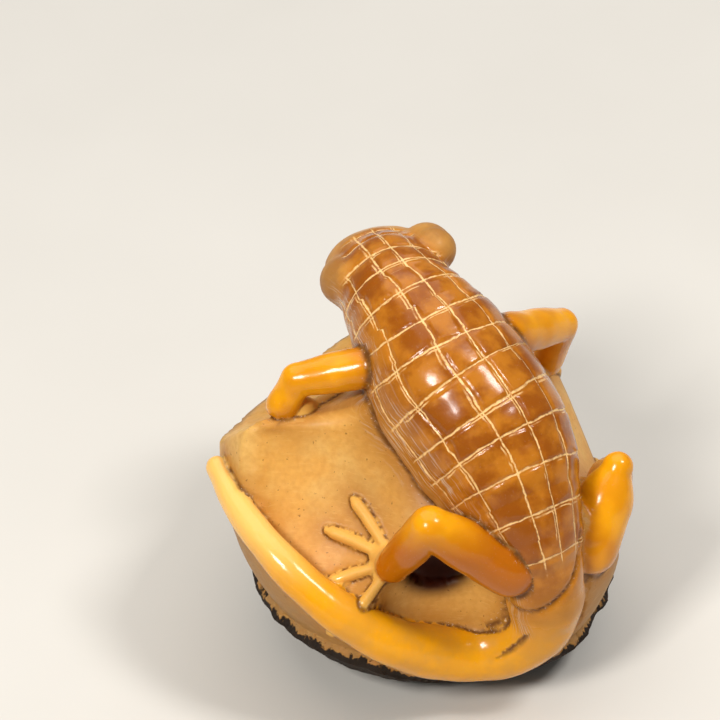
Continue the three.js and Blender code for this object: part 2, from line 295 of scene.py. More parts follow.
@dataclass
class Sweep:
    """A round form swept along a smooth path."""

    centres: np.ndarray
    radii: np.ndarray
    steps: int = 16
    margin: float = 6
    line: np.ndarray = field(init=False)
    width: np.ndarray = field(init=False)
    length: np.ndarray = field(init=False)

    def __post_init__(self) -> None:
        """Samples the path evenly in each span."""
        first = 2 * self.centres[0] - self.centres[1]
        last = 2 * self.centres[-1] - self.centres[-2]
        p = np.vstack([first, self.centres, last])
        line, width = [], []
        for i in range(1, len(p) - 2):
            spans = (i - 1, i, i + 1)
            gaps = [max(1e-4, math.sqrt(np.linalg.norm(p[j + 1] - p[j]))) for j in spans]
            chords = [(p[j + 1] - p[j]) / gap for j, gap in zip(spans, gaps)]
            leave = chords[0] - (p[i + 1] - p[i - 1]) / (gaps[0] + gaps[1]) + chords[1]
            enter = chords[1] - (p[i + 2] - p[i]) / (gaps[1] + gaps[2]) + chords[2]
            leave, enter = leave * gaps[1], enter * gaps[1]
            for step in range(self.steps + (i == len(p) - 3)):
                f = step / self.steps
                square = -3 * p[i] + 3 * p[i + 1] - 2 * leave - enter
                cube = 2 * p[i] - 2 * p[i + 1] + leave + enter
                line.append(p[i] + leave * f + square * f**2 + cube * f**3)
                ease = f * f * (3 - 2 * f)
                width.append(self.radii[i - 1] + (self.radii[i] - self.radii[i - 1]) * ease)
        self.line, self.width = np.array(line), np.array(width)
        pieces = np.linalg.norm(np.diff(self.line, axis=0), axis=1)
        self.length = np.concatenate([[0], np.cumsum(pieces)])

    def nearest(self, points: np.ndarray) -> tuple[np.ndarray, np.ndarray]:
        """Measures how far points are from the form.

        Args:
            points: Places, one row each.

        Returns:
            Distance of each point, negative inside and FAR where it is well clear, and the number of the
            nearest sample of the path.
        """
        room = self.width.max() + self.margin
        close = ((points > self.line.min(0) - room) & (points < self.line.max(0) + room)).all(1)
        places = points[close]
        distance = np.full(len(points), FAR)
        index = np.zeros(len(points), int)
        found, gaps = [], []
        square = (self.line**2).sum(1)
        for start in range(0, len(places), BLOCK):
            block = places[start : start + BLOCK]
            gap = (block**2).sum(1)[:, None] + square - 2 * block @ self.line.T
            gap = np.sqrt(np.maximum(gap, 0)) - self.width
            found.append(gap.argmin(1))
            gaps.append(gap.min(1))
        if found:
            index[close] = np.concatenate(found)
            distance[close] = np.concatenate(gaps)
        return distance, index

    def distance(self, points: np.ndarray) -> np.ndarray:
        """Distance of each point from the form, negative inside."""
        return self.nearest(points)[0]

    def around(self, points: np.ndarray, index: np.ndarray) -> tuple[np.ndarray, np.ndarray]:
        """Tells where points lie on the form.

        Args:
            points: Places, one row each.
            index: Number of the nearest sample for each point.

        Returns:
            Millimetres along the form, and degrees round it to the left of its top.
        """
        ahead = unit(np.gradient(self.line, axis=0))[index]
        centre = self.line[index]
        along = ((points - centre) * ahead).sum(1)
        centre = centre + ahead * along[:, None]
        up = unit(centre - ahead * (centre * ahead).sum(1)[:, None])
        side = np.cross(ahead, up)
        offset = points - centre
        angle = np.degrees(np.arctan2((offset * side).sum(1), (offset * up).sum(1)))
        return self.length[index] + along, angle


@dataclass
class Trunk:
    """Neck, trunk and hips, with the scored grid of the back."""

    nut: GrownNut
    radius: float = 8.7
    tail_root_radius: float = 3.3
    row_pitch: float = 3.58
    neck_pitch: float = 2.3
    neck_rows: int = 4
    back_rows: int = 8
    first_row: float = 2.4
    outer_pitch: float = 29
    seam_angles: tuple[float, ...] = (-85, -56, -26, 0, 23, 57, 85)
    tail: tuple[tuple[float, float, float, float], ...] = (
        (-13, -12, 1.15, 0.5), (-12, -24, 1.12, 0.6), (-4, -33.5, 1.06, 0.6), (9, -37.5, 0.96, 0.4),
        (22, -33.5, 0.87, 0.4), (35, -24, 0.77, 0.5), (49, -12, 0.67, 0.7), (63, -2, 0.59, 0.8),
        (77, 4.8, 0.52, 0.9), (91, 8.2, 0.45, 0.9), (104, 9.2, 0.39, 0.9),
    )

    def stations(self) -> tuple[list[np.ndarray], list[float], list[np.ndarray], list[float]]:
        """Places the stations of trunk and tail.

        Returns:
            Centres and radii of the spine, then those of the tail.
        """
        spine, spine_radii, tail, tail_radii = [], [], [], []
        for along, aside, share in self.nut.spine:
            wide = self.radius * share
            spine.append(self.nut.under(self.nut.over(along, aside), wide))
            spine_radii.append(wide)
        for bearing, rise, share, proud in self.tail:
            wide = self.tail_root_radius * share
            tail.append(self.nut.under(self.nut.round(bearing, rise), wide - proud))
            tail_radii.append(wide)
        return spine, spine_radii, tail, tail_radii

    def sweeps(self) -> tuple[Sweep, Sweep]:
        """Makes the two forms.

        Returns:
            The trunk and the tail.
        """
        spine, spine_radii, tail, tail_radii = self.stations()
        trunk = Sweep(np.array(spine + tail[:1]), np.array(spine_radii + tail_radii[:1]))
        tail_form = Sweep(np.array(spine[-2:] + tail), np.array(spine_radii[-2:] + tail_radii))
        return trunk, tail_form

    def grid(self, trunk: Sweep, points: np.ndarray) -> dict[Zone, np.ndarray]:
        """Tells where points lie in the scored grid.

        Args:
            trunk: The trunk's form.
            points: Places, one row each.

        Returns:
            Row and seam number of each point, and how many millimetres one of each is there.
        """
        index = trunk.nearest(points)[1]
        place, angle = trunk.around(points, index)
        neck_end = self.first_row + self.neck_rows * self.neck_pitch
        row = np.where(
            place < neck_end,
            (place - self.first_row) / self.neck_pitch,
            self.neck_rows + (place - neck_end) / self.row_pitch,
        )
        numbers = np.arange(len(self.seam_angles)) - len(self.seam_angles) // 2
        seam = np.interp(angle, self.seam_angles, numbers)
        step = np.interp(angle, self.seam_angles, np.gradient(np.array(self.seam_angles)))
        past = angle - np.clip(angle, self.seam_angles[0], self.seam_angles[-1])
        return {
            Zone.ROW: row,
            Zone.SEAM: seam + past / self.outer_pitch,
            Zone.ROW_SIZE: np.where(place < neck_end, self.neck_pitch, self.row_pitch),
            Zone.SEAM_SIZE: trunk.width[index] * np.radians(step),
        }


@dataclass
class Limbs:
    """Four legs of two bones each, with feet of four fanned toes."""

    nut: GrownNut
    hind_radius: float = 2.5
    front_radius: float = 1.95
    toe_radius: float = 0.64
    toe_length: float = 5.6
    toe_spread: float = 30
    toe_places: tuple[float, ...] = (0.3, 0.9, 1.4, 1.62)
    toe_shape: tuple[float, ...] = (0.75, 1.05, 1.05, 0.6)

    def plans(self) -> list[tuple]:
        """Lays out the legs, hind ones first and the left before the right.

        Returns:
            Root, joint, ankle and heading of each leg in nut radii, then its radius, the shares of it at knee
            and ankle, and the reach of its toes.
        """
        front_right = self.front_radius * 1.05
        return [
            ((0, -0.855, 0.05), (-0.345, -0.76, 0.345), (-0.447, -0.586, 0.021), (-0.68, -0.3, -0.03),
             self.hind_radius, 0.88, 0.72, 1),
            ((0.46, -0.75, -0.08), (0.66, -0.66, 0.25), (0.785, -0.3, -0.25), (0.82, 0.1, -0.75),
             self.hind_radius * 1.12, 0.58, 0.6, 0.8),
            ((-0.25, -0.04, 0.72), (-0.585, 0.12, 0.64), (-0.66, 0.13, 0.51), (-0.35, 0.8, 0.4),
             self.front_radius, 0.9, 0.9, 0.7),
            ((0.34, -0.12, 0.74), (0.74, 0.06, 0.55), (0.76, 0.22, 0.22), (0.7, 0.6, 0.05),
             front_right, 0.88, 0.85, 0.9),
        ]

    def leg(
        self, root: tuple, joint: tuple, ankle: tuple, heading: tuple,
        radius: float, knee: float, slim: float, reach: float,
    ) -> tuple[list[Sweep], list[Sweep]]:
        """Makes the forms of one leg.

        Args:
            root: Where the leg leaves the body, in nut radii, as the next three are.
            joint: Knee or elbow.
            ankle: Ankle or wrist.
            heading: Where the foot points.
            radius: Thickness of the upper leg.
            knee: Share of it at the joint.
            slim: Share of it at the ankle.
            reach: Share of the toes' full length.

        Returns:
            The two bones, then the pad and toes of the foot.
        """
        root, joint, ankle, heading = (np.array(p) * self.nut.radius for p in (root, joint, ankle, heading))
        upper = Sweep(np.array([root, (root + joint) / 2, joint]), radius * np.array([1.2, 1.08, knee]))
        lower = Sweep(np.array([joint, (joint + ankle) / 2, ankle]), radius * np.array([knee, 0.84, slim]))
        up = unit(ankle)
        ahead = heading - ankle
        ahead = unit(ahead - up * (ahead @ up))
        wide = radius * slim
        ball = ankle + ahead * self.toe_length * 0.3
        pad = [self.nut.on_ground(ankle, 0), self.nut.on_ground(ball, -wide * 0.35)]
        foot = [Sweep(np.array(pad), np.array([wide, wide * 0.7]))]
        for step in (-1.5, -0.5, 0.5, 1.5):
            turn = math.radians(step * self.toe_spread)
            way = ahead * math.cos(turn) + np.cross(up, ahead) * math.sin(turn)
            shares = np.array(self.toe_places) * self.toe_length * reach
            places = [self.nut.on_ground(ankle + way * far, self.toe_radius * 0.1) for far in shares]
            foot.append(Sweep(np.array(places), self.toe_radius * np.array(self.toe_shape)))
        return [upper, lower], foot

    def sweeps(self) -> tuple[list[Sweep], list[Sweep]]:
        """All bones, then all feet."""
        made = [self.leg(*plan) for plan in self.plans()]
        return [one for bones, _ in made for one in bones], [one for _, foot in made for one in foot]


@dataclass
class Head:
    """The solid forms of a plain caiman head: skull, jowls and eyes."""

    nut: GrownNut
    jowl_radius: float = 2.6
    eye_radius: float = 1.5
    skull_radii: tuple[float, ...] = (4.7, 4.6, 4.0, 3.1, 2.4)
    cheek_radii: tuple[float, ...] = (4.2, 4.3, 3.7, 2.9, 2.3)

    def sweeps(self) -> list[Sweep]:
        """Makes the forms of the head and of the ridge that it rests on.

        Returns:
            Skull, its two sides, two jowls, the ridge and two eyes, in that order.
        """
        size = self.nut.radius
        jowl = self.jowl_radius * np.array([0.9, 1, 0.8])
        skull = [
            (0.03, 0.42, 0.76), (0.05, 0.57, 0.73), (0.11, 0.73, 0.58), (0.18, 0.83, 0.39), (0.23, 0.86, 0.22),
        ]
        left = [
            (-0.01, 0.44, 0.76), (-0.03, 0.57, 0.75), (0.03, 0.73, 0.6), (0.12, 0.83, 0.4), (0.18, 0.86, 0.22),
        ]
        right = [
            (0.09, 0.43, 0.76), (0.13, 0.57, 0.74), (0.19, 0.73, 0.59), (0.24, 0.83, 0.39), (0.28, 0.86, 0.22),
        ]
        forms = [
            (skull, self.skull_radii),
            (left, self.cheek_radii),
            (right, self.cheek_radii),
            ([(-0.17, 0.4, 0.86), (-0.17, 0.5, 0.81), (-0.08, 0.64, 0.68)], jowl),
            ([(0.24, 0.4, 0.92), (0.25, 0.5, 0.87), (0.26, 0.64, 0.72)], jowl),
            ([(0.05, 0.2, 0.55), (0.12, 0.5, 0.42), (0.2, 0.66, 0.2)], [4.5, 3.6, 3]),
            ([(0.02, 0.83, 0.67), (0.021, 0.831, 0.67)], [self.eye_radius] * 2),
            ([(0.25, 0.82, 0.67), (0.251, 0.821, 0.67)], [self.eye_radius] * 2),
        ]
        return [Sweep(np.array(places) * size, np.array(radii)) for places, radii in forms]


@dataclass
class Carving:
    """The dressed carving: the solid's own skin made fine, rounded and worked."""

    nut: GrownNut = field(default_factory=GrownNut)
    voxel: float = 0.41
    join: float = 0.45
    toe_join: float = 0.22
    tail_join: float = 1.2
    head_join: float = 0.9
    rubbed_join: float = 1.3
    slant: float = 0.94
    trunk_top: float = 72
    tail_top: float = 64
    top_fade: float = 18
    ground_sink: float = 5
    bone_sink: float = 3
    crease_depth: float = 0.16
    crease_width: float = 0.5
    toe_crease_width: float = 0.32
    shade_width: float = 2.6
    groove_depth: float = 0.13
    groove_width: float = 0.42
    root_groove_depth: float = 0.35
    root_groove_width: float = 0.32
    root_groove_mark: float = 0.3
    lip_depth: float = 0.35
    lip_width: float = 5
    mouth_angle: float = 76
    nostril: tuple[float, float, float] = (5.1, 21.2, 7.5)
    nostril_gap: float = 2.2
    nostril_size: float = 0.55
    eye_ring: float = 1.75
    eye_ring_width: float = 0.28
    groove_path: tuple[tuple[float, float], ...] = (
        (-20, 10), (-19, 5), (-16, 1), (-10, -4), (-3, -10), (1, -14),
    )
    # Centre and size of the painted shadow under the hind-left knee.
    hollow: tuple[float, float, float] = (-4.8, -12.6, -1.6)
    knee_shadow_size: float = 3.4
    rubbed_spots: tuple[tuple[float, float, float, float, float], ...] = (
        (-2.4, -24.7, -4.2, 3.6, 1.6), (10.5, -17.3, 0.6, 3.2, 0),
    )

    def __post_init__(self) -> None:
        """Lays out every form of the animal."""
        self.back = Trunk(self.nut)
        self.trunk, self.tail = self.back.sweeps()
        self.bones, self.feet = Limbs(self.nut).sweeps()
        self.head = Head(self.nut).sweeps()
        places = [self.nut.round(bearing, rise) * self.nut.radius for bearing, rise in self.groove_path]
        self.groove = Sweep(np.array(places), np.zeros(len(places)))

    def distances(self, points: np.ndarray) -> dict[str, np.ndarray]:
        """Measures points against each kind of form. The nut never shows through the tops of trunk and tail.

        Args:
            points: Places, one row each.

        Returns:
            Distance of each point to each kind of form, and how far it is in a rubbed spot, by name.
        """
        reach = np.linalg.norm(points, axis=1)
        way = points / reach[:, None]
        near = {
            "core": (reach - self.nut.core(way)) * self.slant,
            "bone": np.min([one.distance(points) for one in self.bones], axis=0),
            "foot": np.min([one.distance(points) for one in self.feet], axis=0),
            "head": self.head[0].distance(points),
            "groove": self.groove.distance(way * self.nut.radius),
            "rubbed": np.zeros(len(points)),
        }
        for x, y, z, size, sink in self.rubbed_spots:
            share = bell(np.linalg.norm(points - np.array([x, y, z]), axis=1), size, 4)
            near["rubbed"] = np.maximum(near["rubbed"], share)
            near["core"] = near["core"] + sink * share
        for one in self.head[1:]:
            near["head"] = soft_min(near["head"], one.distance(points), self.join)
        for name, form, clear in (("trunk", self.trunk, self.trunk_top), ("tail", self.tail, self.tail_top)):
            near[name], index = form.nearest(points)
            angle = np.abs(form.around(points, index)[1])
            top = 1 - smooth_step(angle, clear - self.top_fade, clear)
            top = top * (1 - smooth_step(near[name], 1.5, 4))
            near["core"] = near["core"] + self.ground_sink * top
            near["bone"] = near["bone"] + self.bone_sink * top * (1 - smooth_step(angle, 30, 45))
        return near

    def crease(self, near: dict[str, np.ndarray]) -> tuple[np.ndarray, np.ndarray]:
        """Finds where two forms meet.

        Args:
            near: Distances to each kind of form.

        Returns:
            How near each point lies to a meeting, sharply, and as a wide painted shade.
        """
        body = np.minimum(np.minimum(near["trunk"], near["tail"]), near["head"])
        limb = np.minimum(near["bone"], near["foot"])
        ordered = np.sort(np.array([near["core"], body, limb]), axis=0)
        gap = ordered[1] - ordered[0]
        width = np.where(near["foot"] < near["bone"], self.toe_crease_width, self.crease_width)
        sharp = bell(gap, width) * (1 - near["rubbed"])
        sharp = np.maximum(sharp, bell(near["groove"], self.root_groove_mark))
        return sharp, np.exp(-gap / self.shade_width)

    def face_cuts(self, points: np.ndarray, near: dict[str, np.ndarray]) -> np.ndarray:
        """Draws the mouth line, the nostrils and a ring round each eye.

        Args:
            points: Places, one row each.
            near: Their distances to each kind of form.

        Returns:
            One where a cut is deepest, zero away from them.
        """
        skull = self.head[0]
        place, angle = skull.around(points, skull.nearest(points)[1])
        cut = bell(np.abs(angle) - self.mouth_angle, self.lip_width) * smooth_step(place, 3, 6)
        for aside in (-1, 1):
            spot = np.array(self.nostril) + np.array([aside * self.nostril_gap / 2, 0, 0])
            cut = np.maximum(cut, bell(np.linalg.norm(points - spot, axis=1), self.nostril_size))
        for eye in self.head[-2:]:
            off = np.linalg.norm(points - eye.line[0], axis=1) - self.eye_ring
            cut = np.maximum(cut, bell(off, self.eye_ring_width))
        return cut * smooth_step(np.minimum(near["core"], near["trunk"]) - near["head"], 0, 0.5)

    def field(self, points: np.ndarray, worked: bool) -> np.ndarray:
        """Measures points against the whole carving.

        Args:
            points: Places, one row each.
            worked: Whether the worked relief counts.

        Returns:
            Distance of each point to the surface, negative inside.
        """
        near = self.distances(points)
        body = soft_min(near["trunk"], near["tail"], self.tail_join)
        body = soft_min(body, near["head"], self.head_join)
        join = self.join + self.rubbed_join * near["rubbed"]
        total = soft_min(near["core"], body, join)
        total = soft_min(total, near["bone"], join)
        total = soft_min(total, near["foot"], self.toe_join)
        if worked:
            total = total + self.relief(points, near)
        return np.maximum(total, self.nut.foot - points[:, 2])

    def relief(self, points: np.ndarray, near: dict[str, np.ndarray]) -> np.ndarray:
        """Works out the cuts: creases, scored lines, face, bark and the unevenness of hand work.

        Args:
            points: Places, one row each.
            near: Their distances to each kind of form.

        Returns:
            Depth cut into the surface at each point.
        """
        grid = self.back.grid(self.trunk, points)
        mask = self.back_mask(near, grid)
        lines = np.zeros(len(points))
        for number, size, seed in ((Zone.ROW, Zone.ROW_SIZE, 3), (Zone.SEAM, Zone.SEAM_SIZE, 4)):
            wobble = 0.05 * ripple(points, 4.5, seed)
            off = np.abs((grid[number] + wobble + 0.5) % 1 - 0.5) * grid[size]
            lines = np.maximum(lines, 1 - smooth_step(off, 0.1, self.groove_width))
        bark = smooth_step(self.nut.bark_edge(unit(points)), -0.5, 1.0) * (near["core"] < 0.6)
        cut = self.crease_depth * self.crease(near)[0] * smooth_step(near["foot"], 0.2, 1.2)
        cut = cut + self.groove_depth * lines * mask
        cut += bark * (0.08 * ripple(points, 2.6, 5) + 0.04 * ripple(points, 1.1, 6))
        cut += self.lip_depth * self.face_cuts(points, near)
        cut += self.root_groove_depth * bell(near["groove"], self.root_groove_width)
        cut += 0.045 * ripple(points, 6.5, 7) + 0.02 * ripple(points, 2.4, 8)
        return cut

    def back_mask(self, near: dict[str, np.ndarray], grid: dict[Zone, np.ndarray]) -> np.ndarray:
        """Finds the scored back.

        Args:
            near: Distances to each kind of form.
            grid: Rows and seams of the same points.

        Returns:
            One on the scored back, zero elsewhere.
        """
        others = np.min([near[k] for k in ("core", "bone", "foot")], axis=0)
        clear = smooth_step(others - near["trunk"], 0.05, 0.5)
        clear = clear * smooth_step(near["head"] - near["trunk"], -0.5, 0.1)
        rows = self.back.neck_rows + self.back.back_rows - 1
        span = smooth_step(grid[Zone.ROW], -1.4, -1.1)
        span = span * (1 - smooth_step(grid[Zone.ROW], rows + 0.1, rows + 0.3))
        wide = 1 - smooth_step(np.abs(grid[Zone.SEAM]), 3.1, 3.3)
        return clear * span * wide

    def settle(self, piece: bpy.types.Object, worked: bool, rounds: int) -> None:
        """Moves the piece's points on to the surface, along the slope of the distance.

        Args:
            piece: The piece, already near the surface.
            worked: Whether the worked relief counts.
            rounds: How often each point is moved.
        """
        probe, flattest, stride = 0.08, 0.3, 0.3
        for _ in range(rounds):
            points = self.places(piece)
            plain = self.field(points, False)
            value = self.field(points, True) if worked else plain
            rises = [self.field(points + probe * np.eye(3)[k], False) - plain for k in range(3)]
            slope = np.stack(rises, axis=1)
            slope /= np.maximum(np.linalg.norm(slope, axis=1, keepdims=True), probe * flattest)
            points = points - slope * np.clip(value, -stride, stride)[:, None]
            points[:, 2] = np.maximum(points[:, 2], self.nut.foot)
            self.place(piece, points)

    def build(self) -> bpy.types.Object:
        """Makes the dressed piece from a copy of the solid.

        Returns:
            The finished object, with its surface values stored.
        """
        bpy.ops.object.select_all(action="DESELECT")
        source = bpy.data.objects[CARVING_NODE]
        piece = bpy.data.objects.new("polished_carving", source.data.copy())
        bpy.context.scene.collection.objects.link(piece)
        piece.select_set(True)
        bpy.context.view_layer.objects.active = piece
        bpy.ops.object.mode_set(mode="EDIT")
        bpy.ops.mesh.select_all(action="SELECT")
        bpy.ops.mesh.remove_doubles(threshold=1e-6)
        bpy.ops.object.mode_set(mode="OBJECT")
        remesh = piece.modifiers.new("fine skin", "REMESH")
        remesh.mode = "VOXEL"
        remesh.voxel_size = self.voxel * MM
        bpy.ops.object.modifier_apply(modifier=remesh.name)
        self.settle(piece, False, 4)
        self.refine(piece)
        self.settle(piece, True, 3)
        self.store(piece)
        bpy.ops.object.shade_smooth()
        return piece

    def refine(self, piece: bpy.types.Object) -> None:
        """Splits the faces of the scored back and the toes, where the relief is finest.

        Args:
            piece: The piece, already on the plain surface.
        """
        points = self.places(piece)
        near = self.distances(points)
        mask = self.back_mask(near, self.back.grid(self.trunk, points))
        fine = (mask > 0.3) | (near["foot"] < 0.15)
        polygons = piece.data.polygons
        corners = np.zeros(len(piece.data.loops), int)
        piece.data.loops.foreach_get("vertex_index", corners)
        starts = np.zeros(len(polygons), int)
        polygons.foreach_get("loop_start", starts)
        chosen = fine[corners[starts]]
        bpy.ops.object.mode_set(mode="EDIT")
        bpy.ops.mesh.select_mode(type="FACE")
        bpy.ops.mesh.select_all(action="DESELECT")
        bpy.ops.object.mode_set(mode="OBJECT")
        polygons.foreach_set("select", chosen)
        bpy.ops.object.mode_set(mode="EDIT")
        bpy.ops.mesh.subdivide(number_cuts=1)
        bpy.ops.mesh.select_all(action="SELECT")
        bpy.ops.mesh.quads_convert_to_tris()
        bpy.ops.object.mode_set(mode="OBJECT")

    def places(self, piece: bpy.types.Object) -> np.ndarray:
        """Reads the piece's points.

        Args:
            piece: The piece.

        Returns:
            Millimetres in the nut's frame, one row each.
        """
        points = np.empty(len(piece.data.vertices) * 3)
        piece.data.vertices.foreach_get("co", points)
        return points.reshape(-1, 3) / MM - np.array(NUT_CENTRE)

    def place(self, piece: bpy.types.Object, points: np.ndarray) -> None:
        """Writes points of the nut's frame back to the piece."""
        piece.data.vertices.foreach_set("co", ((points + np.array(NUT_CENTRE)) * MM).ravel())
        piece.data.update()

    def store(self, piece: bpy.types.Object) -> None:
        """Keeps the surface values that the finish reads.

        Args:
            piece: The finished shape, which gets one value per zone and point.
        """
        points = self.places(piece)
        near = self.distances(points)
        grid = self.back.grid(self.trunk, points)
        way = unit(points)
        names = ("core", "trunk", "tail", "bone", "foot", "head")
        core, trunk, tail, limb, foot, head = (near[name] for name in names)
        animal = np.min([trunk, tail, head, limb, foot], axis=0)
        off_tail = np.minimum(core, limb) - tail
        off_toe = np.min([core, limb, trunk, tail], axis=0) - foot
        on_body = smooth_step(np.min([core, limb, foot], axis=0) - np.minimum(trunk, tail), 0.0, 0.4)
        front = smooth_step(grid[Zone.ROW], -2.6, -0.6) * smooth_step(head - trunk, -1.4, 0.5)
        # A painted shadow on the ground under the hind-left knee.
        in_knee_shadow = bell(np.linalg.norm(points - np.array(self.hollow), axis=1), self.knee_shadow_size)
        sharp, shade = self.crease(near)
        values = dict(grid)
        values[Zone.BACK] = self.back_mask(near, grid)
        # The trunk's lower sides and the ground beside them, kept off the legs, where shade is painted.
        values[Zone.FLANK] = (1 - smooth_step(trunk, 0.5, 1.6)) * smooth_step(limb, 0, 0.4)
        values[Zone.BODY] = on_body * front * (1 - smooth_step(np.abs(grid[Zone.SEAM]), 3.1, 3.8))
        values[Zone.LIMB] = smooth_step(np.min([core, trunk, foot], axis=0) - limb, -0.15, 0.35)
        values[Zone.TAIL] = smooth_step(off_tail, -0.1, 0.3) * smooth_step(trunk - tail, -0.6, 0.6)
        values[Zone.TOE] = smooth_step(off_toe, -0.1, 0.3)
        values[Zone.HEAD] = smooth_step(np.minimum(core, trunk) - head, -0.9, 0.9)
        values[Zone.SUNK] = self.nut.skin(way) - np.linalg.norm(points, axis=1)
        values[Zone.BARK] = self.nut.bark_edge(way) - 12 * smooth_step(core - animal, -0.1, 0.5)
        # Painted shadow under the knee, kept off legs and tail.
        values[Zone.HOLLOW] = in_knee_shadow * smooth_step(np.minimum(limb, tail), 0, 0.5)
        # Wide painted shade near where forms meet.
        values[Zone.SHADE] = shade
        values[Zone.CREASE] = np.maximum(sharp, self.face_cuts(points, near))
        for zone, value in values.items():
            store = piece.data.attributes.new(zone.value, "FLOAT", "POINT")
            store.data.foreach_set("value", value.astype(np.float32))


class Sheet:
    """A node tree that is written as sums."""

    def __init__(self, name: str) -> None:
        """Starts a material with one glossy shader.

        Args:
            name: The material's name.
        """
        self.material = bpy.data.materials.new(name)
        self.material.use_nodes = True
        self.nodes = self.material.node_tree.nodes
        self.links = self.material.node_tree.links
        self.shader = self.nodes["Principled BSDF"]
        coords = self.nodes.new("ShaderNodeTexCoord")
        scale = self.nodes.new("ShaderNodeVectorMath")
        scale.operation = "SCALE"
        self.links.new(coords.outputs["Object"], scale.inputs[0])
        scale.inputs["Scale"].default_value = 1 / MM
        self.where = scale.outputs[0]

    def put(self, socket: Socket, value: object) -> None:
        """Links an output to a socket, or sets the socket's number or colour.

        Args:
            socket: The input to fill.
            value: An output, a number, a place or a colour.
        """
        if isinstance(value, Socket):
            self.links.new(value, socket)
        elif isinstance(value, tuple) and len(value) == 3 and len(socket.default_value) == 4:
            socket.default_value = (*value, 1)
        else:
            socket.default_value = value

    def read(self, zone: Zone) -> Socket:
        """Reads a stored surface value.

        Args:
            zone: Which value.

        Returns:
            The value at the shaded point.
        """
        node = self.nodes.new("ShaderNodeAttribute")
        node.attribute_name = zone.value
        return node.outputs["Fac"]

    def sum(self, operation: str, *values: object) -> Socket:
        """Adds one sum.

        Args:
            operation: Its kind, as the math node names it.
            values: Up to three numbers or outputs.

        Returns:
            The result.
        """
        node = self.nodes.new("ShaderNodeMath")
        node.operation = operation
        for socket, value in zip(node.inputs, values):
            self.put(socket, value)
        return node.outputs[0]

    def times(self, first: object, second: object) -> Socket:
        """The product of two numbers or outputs."""
        return self.sum("MULTIPLY", first, second)

    def plus(self, first: object, second: object) -> Socket:
        """The sum of two numbers or outputs."""
        return self.sum("ADD", first, second)

    def step(self, value: object, low: float, high: float, start: float = 0, end: float = 1) -> Socket:
        """Goes smoothly from one number to another as a value goes from low to high.

        Args:
            value: The value that is followed.
            low: Where the change starts.
            high: Where it ends.
            start: The number at low.
            end: The number at high.

        Returns:
            The number between start and end.
        """
        node = self.nodes.new("ShaderNodeMapRange")
        node.interpolation_type = "SMOOTHSTEP"
        for socket, one in zip(node.inputs, (value, low, high, start, end)):
            self.put(socket, one)
        return node.outputs[0]

    def mix(self, share: object, first: object, second: object) -> Socket:
        """Mixes two colours.

        Args:
            share: How much of the second shows.
            first: The colour below.
            second: The colour laid over it.

        Returns:
            The mixed colour.
        """
        node = self.nodes.new("ShaderNodeMix")
        node.data_type = "RGBA"
        self.put(node.inputs["Factor"], share)
        self.put(node.inputs[6], first)
        self.put(node.inputs[7], second)
        return node.outputs[2]

    def axis(self, number: int) -> Socket:
        """Reads one coordinate.

        Args:
            number: The axis, 2 being the height above the foot.

        Returns:
            Millimetres along it.
        """
        node = self.nodes.new("ShaderNodeSeparateXYZ")
        self.links.new(self.where, node.inputs[0])
        return node.outputs[number]

    def noise(self, scale: float, detail: float = 3, where: object = None, rough: float = 0.55) -> Socket:
        """Adds a cloudy unevenness.

        Args:
            scale: Cycles per millimetre.
            detail: How many finer clouds are laid over it.
            where: The place that it follows, or none for the surface's own.
            rough: How strong the finer clouds are.

        Returns:
            A number between zero and one.
        """
        node = self.nodes.new("ShaderNodeTexNoise")
        self.put(node.inputs["Vector"], where or self.where)
        node.inputs["Scale"].default_value = scale
        node.inputs["Detail"].default_value = detail
        node.inputs["Roughness"].default_value = rough
        return node.outputs["Fac"]

    def vector(self, x: object, y: object, z: object = 0.0) -> Socket:
        """Joins three numbers or outputs.

        Args:
            x: The first.
            y: The second.
            z: The third.

        Returns:
            The place that they make.
        """
        node = self.nodes.new("ShaderNodeCombineXYZ")
        for socket, value in zip(node.inputs, (x, y, z)):
            self.put(socket, value)
        return node.outputs[0]

    def stretched(self, x: float, y: float, z: float) -> Socket:
        """Stretches the place differently along each axis.

        Args:
            x: Factor along the first axis.
            y: Factor along the second.
            z: Factor along the third.

        Returns:
            The stretched place.
        """
        node = self.nodes.new("ShaderNodeVectorMath")
        node.operation = "MULTIPLY"
        self.put(node.inputs[0], self.where)
        node.inputs[1].default_value = (x, y, z)
        return node.outputs[0]


